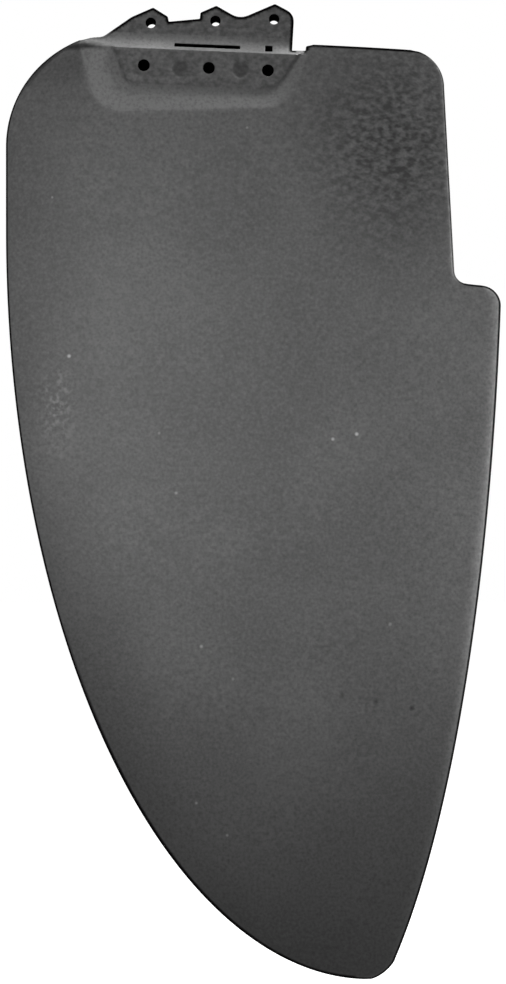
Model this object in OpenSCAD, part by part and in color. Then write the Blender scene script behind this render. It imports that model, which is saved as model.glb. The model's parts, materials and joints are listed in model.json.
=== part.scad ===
// Rudder blade, moulded in one piece: a foil-shaped blade whose root carries a flat bolting pad in a scooped
// recess on each side, a hollow bevel above the pad, and a thinner head flange with three peaked lugs.
// The origin is the middle lower bolt hole on the mid-plane. +X is aft, +Z is up, and the blade hangs below.

/* [Blade outline] */
// How far the leading edge stands ahead of the middle lower bolt
blade_fore = 117; // [105:0.5:130]
// How far aft the trailing edge's curve reaches
blade_aft = 169; // [162:0.5:180]
// How far the tip hangs below the bolt
blade_drop = 520.5; // [480:0.5:580]
// How far aft of the bolt the tip lies
tip_aft = 92.6; // [80:0.2:98]
// Drop at which the leading edge leaves the straight and starts to curve to the tip
nose_drop = 90; // [70:1:140]
// Radius of the rounded fore shoulder
shoulder_r = 65; // [55:0.5:72]
// Height of the fore shoulder's crown
shoulder_top = 22.8; // [22:0.1:24]
// How far the trailing edge's ellipse would bow in
te_bow = 117.2; // [90:0.2:124]
// Drop at which the trailing edge's ellipse is widest
te_crown = 54; // [40:1:80]
// Radius at the tip's aft corner
tip_r = 12; // [8:0.5:16]
// Distance of the upper trailing edge aft of the bolt
upper_aft = 134.3; // [128:0.1:138]
// Lean of the upper trailing edge, in degrees
upper_lean = 3.2; // [0:0.1:5]
// Height of the top edge behind the head
top_h = 13; // [11:0.1:14]
// Fall of that top edge towards the stern, in degrees
top_fall = 2.1; // [0:0.1:3]
// Radius of the upper aft corner
corner_r = 19.5; // [10:0.5:24]
// Drop at which the trailing edge steps out
step_drop = 121.2; // [100:0.2:150]
// Radius in the hollow of the step
step_fillet = 8; // [4:0.5:9]
// Radius on the step's outer corner
step_corner = 11.5; // [8:0.5:14]

/* [Foil section] */
// Greatest thickness at the root
root_t = 26.8; // [25:0.2:30]
// Greatest thickness near the tip
tip_t = 8; // [5:0.2:14]
// Thickness along the trailing edge
edge_t = 4.4; // [3:0.2:7]
// Length of the rounded nose, as a share of the chord
nose_share = 0.2; // [0.12:0.01:0.25]
// Length of the tapered tail, as a share of the chord
tail_share = 0.65; // [0.5:0.01:0.72]
// Length over which the lower trailing edge is rounded off
edge_round = 6.5; // [4:0.5:9]
// Length over which the blunt upper trailing edge is rounded off
blunt_round = 2.5; // [1.5:0.1:5]

/* [Bolting pad] */
// Thickness of the blade over its two pads
pad_t = 23; // [21:0.2:24]
// How far the pad's lower corner reaches ahead of the bolt
pad_fore = 45.8; // [43:0.2:49]
// How far the pad's lower edge reaches aft of the bolt
pad_aft = 38; // [36:0.2:41]
// Distance of the pad's lower edge below the bolts
pad_below = 8.8; // [7:0.1:11]
// Distance of the pad's upper edge above the bolts
pad_above = 9.6; // [8.6:0.1:10.6]
// Fall of the pad and its bolts towards the stern, in degrees
pad_tilt = 2.4; // [0:0.1:4]
// Width of the pad's sloping wall
pad_wall = 2.4; // [2:0.1:4]
// Height of that wall
pad_step = 1.6; // [1:0.1:2]
// How far the scoop reaches ahead of the pad
scoop_fore = 17.2; // [14:0.2:22]
// How far the scoop reaches below the pad
scoop_below = 20; // [12:0.5:24]
// How far the scoop reaches behind the pad
scoop_aft = 9.5; // [6:0.5:11]

/* [Head flange] */
// Thickness of the head flange
flange_t = 12; // [9:0.2:13]
// Height of the hollow bevel from the pad up to the flange
bevel_h = 9.5; // [8.5:0.1:10.5]
// Height of each lug's peak above its hole
lug_h = 8.7; // [7.5:0.1:10]
// Half the width of a lug
lug_half = 9.8; // [9:0.1:10.4]
// Height of the middle lug's fore shoulder above its hole
lug_shoulder = 5; // [4.2:0.1:5.6]
// Height of the valley between the fore and middle lugs above the line of holes
lug_valley = 1.5; // [0:0.1:2.4]
// How far the flange runs aft of its rear hole
flange_aft = 11.6; // [9.5:0.1:11.8]
// Width of the gap between the flange and the blade's aft part
gap_w = 6.5; // [5:0.5:8]
// Height of that gap's floor
gap_floor = 10.9; // [9.6:0.1:11.4]

/* [Bolt holes and slots] */
// Diameter of the lower bolt holes
lower_d = 6.6; // [5:0.1:8]
// Diameter of the upper bolt holes
upper_d = 5.8; // [4:0.1:6.6]
// Spacing from the middle bolt to the fore one
pitch_fore = 36.9; // [35:0.1:39]
// Spacing from the middle bolt to the aft one
pitch_aft = 33.5; // [32:0.1:35]
// Height of the middle upper hole above the middle lower one
row_rise = 28.5; // [27.6:0.1:31]
// How far the middle upper hole lies aft of the middle lower one
row_shift = 3.6; // [2:0.1:5]
// Rise of the upper row towards the stern, in degrees
upper_tilt = 1.7; // [0:0.1:3]
// Length of the slot in the bevel
slot_w = 37.4; // [20:0.2:44]
// Height of the slot
slot_h = 2.2; // [1.6:0.1:3.2]
// Width of the square hole aft of the slot
key_w = 4; // [3:0.1:5]
// Height of the square hole
key_h = 4; // [2.4:0.1:4.6]
// Diameter of the two round mould marks on each pad
mark_d = 10.3; // [8:0.1:12]

/* [Hidden] */
$fn = 48;
spill = 1;                      // how far a cutting shape stands past what it cuts
root_half = root_t / 2;
tip_half = tip_t / 2;
edge_half = edge_t / 2;
pad_half = pad_t / 2;
flange_half = flange_t / 2;
scoop_half = pad_half - pad_step;
shoulder_x = shoulder_r - blade_fore;
shoulder_z = shoulder_top - shoulder_r;
tip_span = blade_drop - nose_drop;
te_overrun = 1.104;             // the trailing edge's ellipse would end this far past the tip
tip_power = 1.4;                // how full the tip's aft corner is: 1 would be a straight cut, 2 an ellipse
thinning = 1.3;                 // the blade thins a little faster towards its tip
te_span = te_overrun * (blade_drop - te_crown);
corner_fall = 2.2;              // how far the top edge has fallen where it meets the aft corner
corner_z = top_h - corner_r - corner_fall;
shelf_fall = 0.7;               // the step's shelf slopes down a little to the stern
step_z = -step_drop + step_fillet;
bevel_power = 2.2;              // how hollow the bevel is: 1 would be flat
slot_rise = pad_above + 0.4 * bevel_h;  // the slot's centre line, in the bevel
slot_fore = 1.6;                // the slot's middle lies this far ahead of the bolt
key_aft = pitch_aft;            // the square hole stands over the aft bolt
key_sink = 0.1;                 // and sits this much lower than the slot
mark_places = [[-0.44 * pitch_fore, -1], [0.54 * pitch_aft, 0]];
mark_depth = 0.25;
head_fore = blade_fore + 20;    // the bevel is cut from here, ahead of the leading edge
aft_wall = row_shift + pitch_aft + flange_aft + gap_w;  // the blade's aft part starts here
bevel_aft = aft_wall - gap_floor * tan(pad_tilt);       // the tilted bevel ends here, at the gap's floor
bevel_dip = 0.3;                // share of its height by which the bevel's cut starts below the pad's edge
head_top = 60;                  // height that clears the whole head
chord_steps = 18;

// Fore-and-aft place of the upper trailing edge, the lower one and the two joined by the step
function upper_te(z) = upper_aft - z * tan(upper_lean);
function lower_te(z) = blade_aft - te_bow * (1 - sqrt(1 - pow((-te_crown - z) / te_span, 2)));
function shelf_x() = upper_te(step_z) + step_fillet;
function corner_x() = lower_te(-step_drop - shelf_fall - step_corner) - step_corner;
function trailing(z) =
    z > corner_z ? upper_te(corner_z) - corner_r + half_chord(corner_r, min(z - corner_z, corner_r))
    : z > step_z ? upper_te(z)
    : z > -step_drop ? upper_te(step_z) + step_fillet - half_chord(step_fillet, step_z - z)
    : z > -step_drop - shelf_fall ? shelf_x() + (corner_x() - shelf_x()) * (-step_drop - z) / shelf_fall
    : z > -step_drop - shelf_fall - step_corner
        ? corner_x() + half_chord(step_corner, z + step_drop + shelf_fall + step_corner)
    : z > tip_r - blade_drop ? lower_te(z)
    : tip_aft + (lower_te(tip_r - blade_drop) - tip_aft)
        * pow(1 - pow((tip_r - blade_drop - z) / tip_r, tip_power), 1 / tip_power);
function half_chord(r, h) = sqrt(max(0, r * r - h * h));

// Fore-and-aft place of the leading edge: the shoulder's arc, a straight and an elliptic sweep to the tip
function leading(z) =
    z > shoulder_z ? shoulder_x - half_chord(shoulder_r, z - shoulder_z)
    : z > -nose_drop ? -blade_fore
    : tip_aft - (tip_aft + blade_fore) * half_chord(1, (-nose_drop - z) / tip_span);

// Half the thickness: an elliptic nose, a tail that thins towards the line of the lower trailing edge even
// where the upper one stands ahead of it, and a rounded edge
function ease(s) = half_chord(1, 1 - min(1, max(0, s)));
function tail_line(z) = lower_te(min(z, -te_crown));
function greatest(z) = let(s = max(0, -z) / blade_drop)
    (root_half + (tip_half - root_half) * pow(s, thinning)) * ease((z + blade_drop) / tip_r);
function half_thickness(x, z) =
    let(most = greatest(z), edge = min(edge_half, most), chord = tail_line(z) - leading(z),
        tail = 1 - pow(1 - min(1, (tail_line(z) - x) / (tail_share * chord)), 3))
    (edge + (most - edge) * tail) * ease((x - leading(z)) / (nose_share * chord))
        * ease((trailing(z) - x) / (z > -step_drop ? blunt_round : edge_round));

// Heights of the foil's sections, closer together where the outline turns
function falling(v) = len(v) < 2 ? v
    : concat(falling([for (q = v) if (q > v[0]) q]), [v[0]], falling([for (q = v) if (q < v[0]) q]));
function spaced(v, least) = [for (i = [0:len(v) - 1]) if (i == 0 || v[i - 1] - v[i] > least) v[i]];
shoulder_cuts = [for (a = [0:6:78]) shoulder_z + shoulder_r * sin(a)];
corner_cuts = [for (a = [0:15:75]) corner_z + corner_r * sin(a)];
fillet_cuts = [for (a = [0:22.5:90]) step_z - step_fillet * sin(a)];
convex_cuts = [for (a = [0:18:90]) -step_drop - shelf_fall - step_corner * (1 - cos(a))];
sweep_cuts = [for (a = [0:5:85]) -nose_drop - tip_span * sin(a)];
tip_cuts = [for (a = [6:16:70]) -blade_drop + tip_r * (1 - cos(a))];
least_gap = 0.25;
cuts = spaced(falling(concat(
    shoulder_cuts, corner_cuts, fillet_cuts, convex_cuts, sweep_cuts, tip_cuts)), least_gap);

// One section of the foil, round from the leading edge along the seen side and back
function section(z) =
    let(fore = leading(z), chord = trailing(z) - fore)
    [for (j = [0:2 * chord_steps - 1])
        let(x = fore + chord * (1 - cos(180 * j / chord_steps)) / 2, side = j > chord_steps ? 1 : -1)
        [x, side * half_thickness(x, z), z]];

// Corner b of an outline, turned by a curve that starts a given length before it and ends as far after it
function turned(a, b, c, length) =
    let(p = b + (a - b) * length / norm(a - b), q = b + (c - b) * length / norm(c - b))
    [for (s = [0:0.2:1]) (1 - s) * (1 - s) * p + 2 * s * (1 - s) * b + s * s * q];
function eased(points, lengths) = let(n = len(points)) [for (i = [0:n - 1])
    each lengths[i] == 0 ? [points[i]]
        : turned(points[(i + n - 1) % n], points[i], points[(i + 1) % n], lengths[i])];

// Outlines of the pad and its scoop, looking at the side, level with the lower bolts
pad_lean = 0.4;                 // the pad's fore edge leans forward this much for each unit up
pad_rake = 0.6;                 // and its aft edge leans back this much
pad_corners = [0, 4, 8, 0];
pad_high = pad_above + 1.5 * bevel_h;   // pad and scoop run up past the bevel that trims them
scoop_lean = 0.29;
scoop_rake = 0.25;
scoop_corners = [0, 18, 16, 0];
scoop_power = 1.15;             // how hollow the scoop is: 1 would be a flat ramp
scoop_lift = 7.9;               // the scoop's lower edge lies this much nearer the pad at its aft end
function grown(out) = [
    [-pad_fore - out - pad_lean * (pad_high + pad_below), pad_high],
    [-pad_fore - out, -pad_below - out],
    [pad_aft + out, -pad_below - out],
    [pad_aft + out + pad_rake * (pad_high + pad_below + out), pad_high]];
function pad_outline(out) = eased(grown(out), pad_corners);
scoop_low = pad_below + scoop_below;
scoop_outline = eased([
    [-pad_fore - scoop_fore - scoop_lean * (pad_high + scoop_low), pad_high],
    [-pad_fore - scoop_fore, -scoop_low],
    [pad_aft + scoop_aft, -scoop_low + scoop_lift],
    [pad_aft + scoop_aft + scoop_rake * (pad_high + scoop_low), pad_high]], scoop_corners);

// Outline of the head flange, level with the upper bolts and from its middle one
flange_root = -row_rise + 4;    // the flange runs down inside the blade to here
ramp_foot = [-pitch_fore - 27.4, -7];       // a ramp climbs from the shoulder to the fore lug
ramp_tail = [-pitch_fore - 39, -8.6];
lug_skew = 0.8;                 // a lug's peak lies this far aft of its hole, and the fore one twice as far
fore_shoulders = [1.3, 1.7];    // the fore lug's two shoulders lie this much lower than the middle lug's
fore_flare = 1.1;               // and its fore one stands this much further out
mid_pinch = 1.4;                // the middle lug's shoulder stands this much further in
flank = 0.5;                    // a lug's flank falls to the valley over this width
valley_tilt = 1.1;
valley_aft = 0.415 * pitch_aft; // lowest place between the middle and the aft lug
valley_dip = 0.8;               // which lies this much deeper than the other valley
side_draft = 2.4;
ridge_h = 1.5;                  // the shoulder's rounded ridge stands this much above the ramp's tail
flange_corner = 5;
flange_fall = 2.4;              // the aft lug's outer corner lies this much below the shoulders
flange_points = [
    [ramp_tail[0], flange_root], ramp_tail, ramp_foot,
    [-pitch_fore - lug_half - fore_flare, lug_shoulder - fore_shoulders[0]],
    [-pitch_fore + 2 * lug_skew, lug_h], [-pitch_fore + lug_half, lug_shoulder - fore_shoulders[1]],
    [-pitch_fore + lug_half + flank, lug_valley - valley_tilt], [-lug_half + mid_pinch - flank, lug_valley],
    [-lug_half + mid_pinch, lug_shoulder], [lug_skew, lug_h], [valley_aft, lug_valley - valley_dip],
    [pitch_aft + lug_skew, lug_h], [pitch_aft + flange_aft, lug_shoulder - flange_fall],
    [pitch_aft + flange_aft - side_draft, flange_root]];
flange_turns = [0, 0, 1.5, 1.5, 0.8, 0.8, 0.5, 0.5, 0.8, 0.8, 5.5, 0.8, flange_corner, 0];

module across(thickness) { rotate([90, 0, 0]) linear_extrude(height = thickness, center = true) children(); }

module both_sides() {
    children();
    mirror([0, 1, 0]) children();
}

// A solid through rings of equally many points, each ring turning left as seen from the first one's side
module loft(rings) {
    count = len(rings[0]);
    last = len(rings) - 1;
    walls = [for (i = [0:last - 1], j = [0:count - 1])
        let(a = i * count + j, b = i * count + (j + 1) % count)
        each [[a, b, a + count], [b, b + count, a + count]]];
    first_cap = [for (j = [0:count - 1]) count - 1 - j];
    last_cap = [for (j = [0:count - 1]) last * count + j];
    polyhedron([for (ring = rings) each ring], concat([first_cap], walls, [last_cap]));
}

function ring(outline, half) = [for (p = outline) [p[0], -half, p[1]]];

module foil() { loft([for (z = cuts) section(z)]); }

module scoop() {
    foot = pad_outline(pad_wall);
    depth = root_half - scoop_half;
    loft([for (s = [1.25:-0.25:0])
        ring((1 - s) * foot + s * scoop_outline, scoop_half + depth * pow(s, scoop_power))]);
}

module boss() {
    loft([ring(pad_outline(0), pad_half), ring(pad_outline(pad_wall), scoop_half),
        ring(pad_outline(pad_wall), scoop_half - spill)]);
}

module bevel() {
    depth = pad_half - flange_half;
    steps = 10;
    hollow = [for (i = [0:steps]) let(t = -bevel_dip + (1 + bevel_dip) * i / steps)
        [flange_half + depth * pow(1 - t, bevel_power), pad_above + bevel_h * t]];
    translate([bevel_aft, 0, 0]) rotate([90, 0, -90]) linear_extrude(height = head_fore + bevel_aft)
        polygon(concat(hollow, [
            [flange_half - spill, pad_above + bevel_h + spill], [flange_half - spill, head_top],
            [root_t, head_top], [root_t, pad_above - bevel_dip * bevel_h]]));
}

module head_room() {
    far = blade_aft + spill;
    gap_fore = aft_wall - gap_w - side_draft;
    across(2 * root_t) polygon([
        [gap_fore, gap_floor], [aft_wall, gap_floor], [aft_wall, top_h],
        [far, top_h - (far - aft_wall) * tan(top_fall)], [far, head_top], [gap_fore, head_top]]);
}

module at_upper_row() { translate([row_shift, 0, row_rise]) rotate([0, -upper_tilt, 0]) children(); }

module shoulder_trim() {
    at_upper_row() across(2 * root_t) polygon([
        ramp_tail + [0, ridge_h], ramp_foot, [ramp_foot[0], head_top], [ramp_tail[0], head_top]]);
}

module flange() { at_upper_row() across(flange_t) polygon(eased(flange_points, flange_turns)); }

module bores(diameter) {
    for (x = [-pitch_fore, 0, pitch_aft])
        translate([x, 0, 0]) rotate([90, 0, 0]) cylinder(h = 2 * root_t, d = diameter, center = true);
}

module slots() {
    translate([-slot_fore, 0, slot_rise]) cube([slot_w, 2 * root_t, slot_h], center = true);
    translate([key_aft, 0, slot_rise - key_sink]) cube([key_w, 2 * root_t, key_h], center = true);
}

module marks() {
    for (place = mark_places)
        translate([place[0], mark_depth - pad_half, place[1]])
            rotate([90, 0, 0]) cylinder(h = spill, d = mark_d);
}

module rudder_blade() {
    color("dimgray")
    difference() {
        union() {
            difference() {
                union() {
                    difference() {
                        foil();
                        rotate([0, pad_tilt, 0]) both_sides() scoop();
                    }
                    rotate([0, pad_tilt, 0]) both_sides() boss();
                }
                rotate([0, pad_tilt, 0]) both_sides() bevel();
                head_room();
                shoulder_trim();
            }
            flange();
        }
        rotate([0, pad_tilt, 0]) {
            bores(lower_d);
            slots();
            both_sides() marks();
        }
        at_upper_row() bores(upper_d);
    }
}

rudder_blade();
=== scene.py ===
import json
import math

import bpy
import numpy as np
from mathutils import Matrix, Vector
from mathutils.geometry import delaunay_2d_cdt


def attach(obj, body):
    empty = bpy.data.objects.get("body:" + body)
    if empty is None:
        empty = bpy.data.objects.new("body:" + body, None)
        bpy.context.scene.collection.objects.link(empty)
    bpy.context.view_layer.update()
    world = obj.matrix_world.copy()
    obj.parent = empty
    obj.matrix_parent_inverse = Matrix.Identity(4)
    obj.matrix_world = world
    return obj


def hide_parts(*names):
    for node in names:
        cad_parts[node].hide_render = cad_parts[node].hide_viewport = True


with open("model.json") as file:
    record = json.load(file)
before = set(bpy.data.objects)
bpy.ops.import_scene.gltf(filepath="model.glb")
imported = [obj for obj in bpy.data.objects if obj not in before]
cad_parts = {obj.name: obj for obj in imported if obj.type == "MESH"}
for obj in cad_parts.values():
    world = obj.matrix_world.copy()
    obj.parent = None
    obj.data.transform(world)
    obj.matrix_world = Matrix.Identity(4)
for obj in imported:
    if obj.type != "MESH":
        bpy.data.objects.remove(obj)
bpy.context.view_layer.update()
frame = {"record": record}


# The blade's foil: a solid moulding in dark, matte, glass-filled nylon, with a blunt elliptic nose, a tail
# that thins to the trailing edge, a deep rounded shoulder and a step out in the trailing edge.
# Lengths are in millimetres from the middle lower bolt hole, x aft and z up, as in the CAD frame.
BLADE_FORE, BLADE_AFT, BLADE_DROP = 117.0, 169.0, 520.5
TIP_AFT, TIP_R, TIP_POWER = 92.6, 12.0, 1.4
NOSE_DROP, SHOULDER_R, SHOULDER_TOP = 90.0, 65.0, 22.8
TE_BOW, TE_CROWN, TE_OVERRUN = 117.2, 54.0, 1.104
UPPER_AFT, UPPER_LEAN = 134.3, math.tan(math.radians(3.2))
TOP_H, TOP_FALL, CORNER_R, CORNER_FALL = 13.0, math.tan(math.radians(2.1)), 19.5, 2.2
STEP_DROP, STEP_FILLET, STEP_CORNER, SHELF_FALL = 121.2, 8.0, 11.5, 0.7
ROOT_HALF, TIP_HALF, EDGE_HALF, THINNING = 13.4, 4.0, 2.2, 1.3
NOSE_SHARE, TAIL_SHARE, TAIL_POWER, EDGE_ROUND, BLUNT_ROUND = 0.2, 0.65, 3, 6.5, 2.5
SHOULDER_X, SHOULDER_Z = SHOULDER_R - BLADE_FORE, SHOULDER_TOP - SHOULDER_R
CORNER_Z = TOP_H - CORNER_R - CORNER_FALL
STEP_Z = STEP_FILLET - STEP_DROP
SHELF_Z = -STEP_DROP - SHELF_FALL
TIP_Z = TIP_R - BLADE_DROP


def half_chord(r, h):
    """Half the chord of a circle of radius r at height h: the root of r squared less h squared."""
    return np.sqrt(np.maximum(0, r * r - h * h))


def quarter(s):
    """A unit quarter circle's height at share s from its foot: the root of 1 less (1 - s) squared."""
    return half_chord(1, 1 - np.clip(s, 0, 1))


def upper_edge(z):
    """The upper trailing edge: a straight line that leans aft on its way down."""
    return UPPER_AFT - z * UPPER_LEAN


def lower_edge(z):
    """The lower trailing edge: a quarter ellipse, widest at the crown, that would end past the tip."""
    span = TE_OVERRUN * (BLADE_DROP - TE_CROWN)
    return BLADE_AFT - TE_BOW * (1 - half_chord(1, (-TE_CROWN - z) / span))


SHELF_X = upper_edge(STEP_Z) + STEP_FILLET
STEP_X = lower_edge(SHELF_Z - STEP_CORNER) - STEP_CORNER
TIP_X = lower_edge(TIP_Z)


def leading(z):
    """The leading edge: the shoulder's arc, a straight, then a quarter ellipse that sweeps to the tip."""
    shoulder = SHOULDER_X - half_chord(SHOULDER_R, z - SHOULDER_Z)
    sweep = TIP_AFT - (TIP_AFT + BLADE_FORE) * half_chord(1, (-NOSE_DROP - z) / (BLADE_DROP - NOSE_DROP))
    return np.select([z > SHOULDER_Z, z > -NOSE_DROP], [shoulder, -BLADE_FORE + 0 * z], sweep)


def trailing(z):
    """The trailing edge: the upper corner's arc, the upper line, the step's hollow, shelf and corner, the
    lower ellipse, and the tip, a curve on which two shares, each raised to a power, add up to 1."""
    corner = upper_edge(CORNER_Z) - CORNER_R + half_chord(CORNER_R, np.minimum(z - CORNER_Z, CORNER_R))
    hollow = SHELF_X - half_chord(STEP_FILLET, STEP_Z - z)
    shelf = SHELF_X + (STEP_X - SHELF_X) * (-STEP_DROP - z) / SHELF_FALL
    outer = STEP_X + half_chord(STEP_CORNER, z - SHELF_Z + STEP_CORNER)
    share = np.clip((TIP_Z - z) / TIP_R, 0, 1)
    tip = TIP_AFT + (TIP_X - TIP_AFT) * (1 - share ** TIP_POWER) ** (1 / TIP_POWER)
    return np.select(
        [z > CORNER_Z, z > STEP_Z, z > -STEP_DROP, z > SHELF_Z, z > SHELF_Z - STEP_CORNER, z > TIP_Z],
        [corner, upper_edge(z), hollow, shelf, outer, lower_edge(z)], tip)


def foil_half(x, z):
    """Half the foil's thickness: the greatest one at that height, times a quarter-ellipse nose, a cubic
    tail that thins to the trailing edge's thickness, and a quarter-ellipse rounding of that edge, short
    where it is blunt above the step."""
    most = ROOT_HALF + (TIP_HALF - ROOT_HALF) * (np.maximum(0, -z) / BLADE_DROP) ** THINNING
    most = most * quarter((z + BLADE_DROP) / TIP_R)
    tail_line = lower_edge(np.minimum(z, -TE_CROWN))
    fore = leading(z)
    chord = tail_line - fore
    tail = 1 - (1 - np.minimum(1, (tail_line - x) / (TAIL_SHARE * chord))) ** TAIL_POWER
    edge = np.minimum(EDGE_HALF, most)
    nose = quarter((x - fore) / (NOSE_SHARE * chord))
    rounding = np.where(z > -STEP_DROP, BLUNT_ROUND, EDGE_ROUND)
    return (edge + (most - edge) * tail) * nose * quarter((trailing(z) - x) / rounding)


# The root's recess on each side: a flat bolting pad stands in a hollow scoop, and both fall aft a little.
# They are part of the same moulding. Two shallow round ejector marks lie on each pad.
PAD_TILT = math.radians(2.4)
PAD_HALF, PAD_STEP, PAD_WALL = 11.5, 1.6, 2.4
PAD_FORE, PAD_AFT, PAD_BELOW, PAD_ABOVE = 45.8, 38.0, 8.8, 9.6
PAD_LEAN, PAD_RAKE, PAD_TURNS = 0.4, 0.6, (0, 4, 8, 0)
SCOOP_FORE, SCOOP_BELOW, SCOOP_AFT, SCOOP_LIFT = 17.2, 20.0, 9.5, 7.9
SCOOP_LEAN, SCOOP_RAKE, SCOOP_POWER, SCOOP_TURNS = 0.29, 0.25, 1.15, (0, 18, 16, 0)
BEVEL_H, BEVEL_POWER, PAST_BEVEL = 9.5, 2.2, 1.5
PAD_HIGH = PAD_ABOVE + PAST_BEVEL * BEVEL_H
MARKS, MARK_R, MARK_DEPTH, MARK_WALL = np.array([[-16.2, -1.0], [18.1, 0.0]]), 5.15, 0.25, 0.4
TURN_POINTS, PAIRS_AT_ONCE, TINY = 8, 1_500_000, 1e-12


def spun(points, angle):
    """Points turned by an angle about the middle lower bolt; a positive angle lowers their aft end."""
    c, s = math.cos(angle), math.sin(angle)
    return np.stack([points[:, 0] * c + points[:, 1] * s, points[:, 1] * c - points[:, 0] * s], 1)


def turned(points, lengths):
    """An outline whose corners become parabolas that start a given length before the corner and end as far
    after it. A corner with no length stays sharp."""
    points = np.asarray(points, float)
    before, after = np.roll(points, 1, 0) - points, np.roll(points, -1, 0) - points
    out = []
    for b, p, q, length in zip(points, before, after, lengths):
        if not length:
            out.append(b[None])
            continue
        s = np.linspace(0, 1, TURN_POINTS)[:, None]
        start, end = b + p * length / np.hypot(*p), b + q * length / np.hypot(*q)
        out.append((1 - s) ** 2 * start + 2 * s * (1 - s) * b + s * s * end)
    return np.vstack(out)


def divided(path, step, closed=False):
    """The same path with each straight stretch cut into equal parts no longer than step."""
    path = np.vstack([path, path[:1]]) if closed else path
    a, run = path[:-1], path[1:] - path[:-1]
    n = np.maximum(1, np.ceil(np.hypot(run[:, 0], run[:, 1]) / step)).astype(int)
    i = np.repeat(np.arange(len(n)), n)
    t = (np.arange(n.sum()) - np.repeat(np.cumsum(n) - n, n)) / n[i]
    cut = a[i] + run[i] * t[:, None]
    return cut if closed else np.vstack([cut, path[-1:]])


def inset(loop, amount):
    """A loop's points moved square to it, to the left of its run, by an amount."""
    run = np.roll(loop, -1, 0) - np.roll(loop, 1, 0)
    run = run / np.maximum(TINY, np.hypot(run[:, 0], run[:, 1]))[:, None]
    return loop + amount * np.stack([-run[:, 1], run[:, 0]], 1)


def from_loop(points, loop):
    """Each point's distance from a closed loop, positive inside, and the stretch it lies nearest to. The
    distance to a stretch is taken to the foot of the perpendicular, held between the ends; a point is
    inside where a level line from it crosses the loop an odd number of times."""
    a, b = loop, np.roll(loop, -1, 0)
    d = b - a
    square = np.maximum(TINY, (d * d).sum(1))
    rise = np.where(np.abs(d[:, 1]) < TINY, TINY, d[:, 1])
    gaps, nearest = [], []
    for block in np.array_split(points, 1 + len(points) * len(loop) // PAIRS_AT_ONCE):
        px, pz = block[:, :1], block[:, 1:]
        t = np.clip(((px - a[:, 0]) * d[:, 0] + (pz - a[:, 1]) * d[:, 1]) / square, 0, 1)
        gap = np.hypot(px - a[:, 0] - t * d[:, 0], pz - a[:, 1] - t * d[:, 1])
        spans = (a[:, 1] > pz) != (b[:, 1] > pz)
        inside = (spans & (px < a[:, 0] + (pz - a[:, 1]) * d[:, 0] / rise)).sum(1) % 2
        nearest.append(gap.argmin(1))
        gaps.append(gap.min(1) * np.where(inside, 1, -1))
    return np.concatenate(gaps), np.concatenate(nearest)


def pad_outline(out):
    """The pad's outline level with its bolts, grown by an amount: a fore edge that leans forward, a level
    lower edge and a raked aft edge, running up past the bevel."""
    high = PAD_HIGH + PAD_BELOW
    return turned([
        [-PAD_FORE - out - PAD_LEAN * high, PAD_HIGH], [-PAD_FORE - out, -PAD_BELOW - out],
        [PAD_AFT + out, -PAD_BELOW - out], [PAD_AFT + out + PAD_RAKE * (high + out), PAD_HIGH]], PAD_TURNS)


def scoop_outline():
    """The scoop's rim, drawn as the pad's outline is, with its lower edge rising aft."""
    low = PAD_BELOW + SCOOP_BELOW
    return turned([
        [-PAD_FORE - SCOOP_FORE - SCOOP_LEAN * (PAD_HIGH + low), PAD_HIGH], [-PAD_FORE - SCOOP_FORE, -low],
        [PAD_AFT + SCOOP_AFT, SCOOP_LIFT - low],
        [PAD_AFT + SCOOP_AFT + SCOOP_RAKE * (PAD_HIGH + low), PAD_HIGH]], SCOOP_TURNS)


def smooth_step(s):
    """A soft climb from 0 to 1 that is level at both ends: three s squared less two s cubed."""
    s = np.clip(s, 0, 1)
    return s * s * (3 - 2 * s)


def lesser(a, b, blend):
    """The smaller of two heights, with the crease between them rounded over a height of blend: less a
    quarter of the blend where they are equal, falling with the square of their nearness."""
    near = np.maximum(0, 1 - np.abs(a - b) / blend)
    return np.minimum(a, b) - near * near * blend / 4


def recess_half(level, foil):
    """Half the thickness over the recess, at points level with the pad: flat on the pad, falling in a soft
    step down its wall, then climbing through the hollow scoop to the foil by a power of the share of the
    way to its rim. Gives also how far each point is off the pad and inside the rim."""
    off_pad = -from_loop(level, pad_outline(0))[0]
    to_rim = from_loop(level, scoop_outline())[0]
    boss = PAD_HALF - PAD_STEP * smooth_step(off_pad / PAD_WALL)
    out = np.maximum(0, off_pad - PAD_WALL)
    share = np.where(to_rim > 0, out / np.maximum(TINY, out + to_rim), 1 - to_rim / SCOOP_AFT)
    floor = PAD_HALF - PAD_STEP
    hollow = floor + (np.maximum(foil, floor) - floor) * share ** SCOOP_POWER
    for mark in MARKS:
        boss = boss - MARK_DEPTH * smooth_step((MARK_R - np.hypot(*(level - mark).T)) / MARK_WALL)
    return np.where(off_pad < PAD_WALL, boss, hollow), off_pad, to_rim


# The head: above the pads a hollow bevel thins the moulding to a flat flange with three peaked lugs, one
# for each upper bolt. A ramp joins it to the shoulder, and a narrow gap parts it from the aft top edge.
FLANGE_HALF, FLANGE_AFT, FLANGE_ROOT, FLANGE_CORNER, FLANGE_FALL = 6.0, 11.6, -24.5, 5.0, 2.4
LUG_H, LUG_HALF, LUG_SHOULDER, LUG_SKEW, FORE_SKEW, LUG_FLANK = 8.7, 9.8, 5.0, 0.8, 1.6, 0.5
FORE_SHOULDERS, FORE_FLARE, MID_PINCH = (1.3, 1.7), 1.1, 1.4
LUG_VALLEY, VALLEY_TILT, VALLEY_DIP, VALLEY_SHARE = 1.5, 1.1, 0.8, 0.415
RAMP_TAIL, RAMP_FOOT = (39.0, 8.6), (27.4, 7.0)
RAMP_TURN, PEAK_TURN, FOOT_TURN, VALLEY_TURN = 1.5, 0.8, 0.5, 5.5
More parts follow.
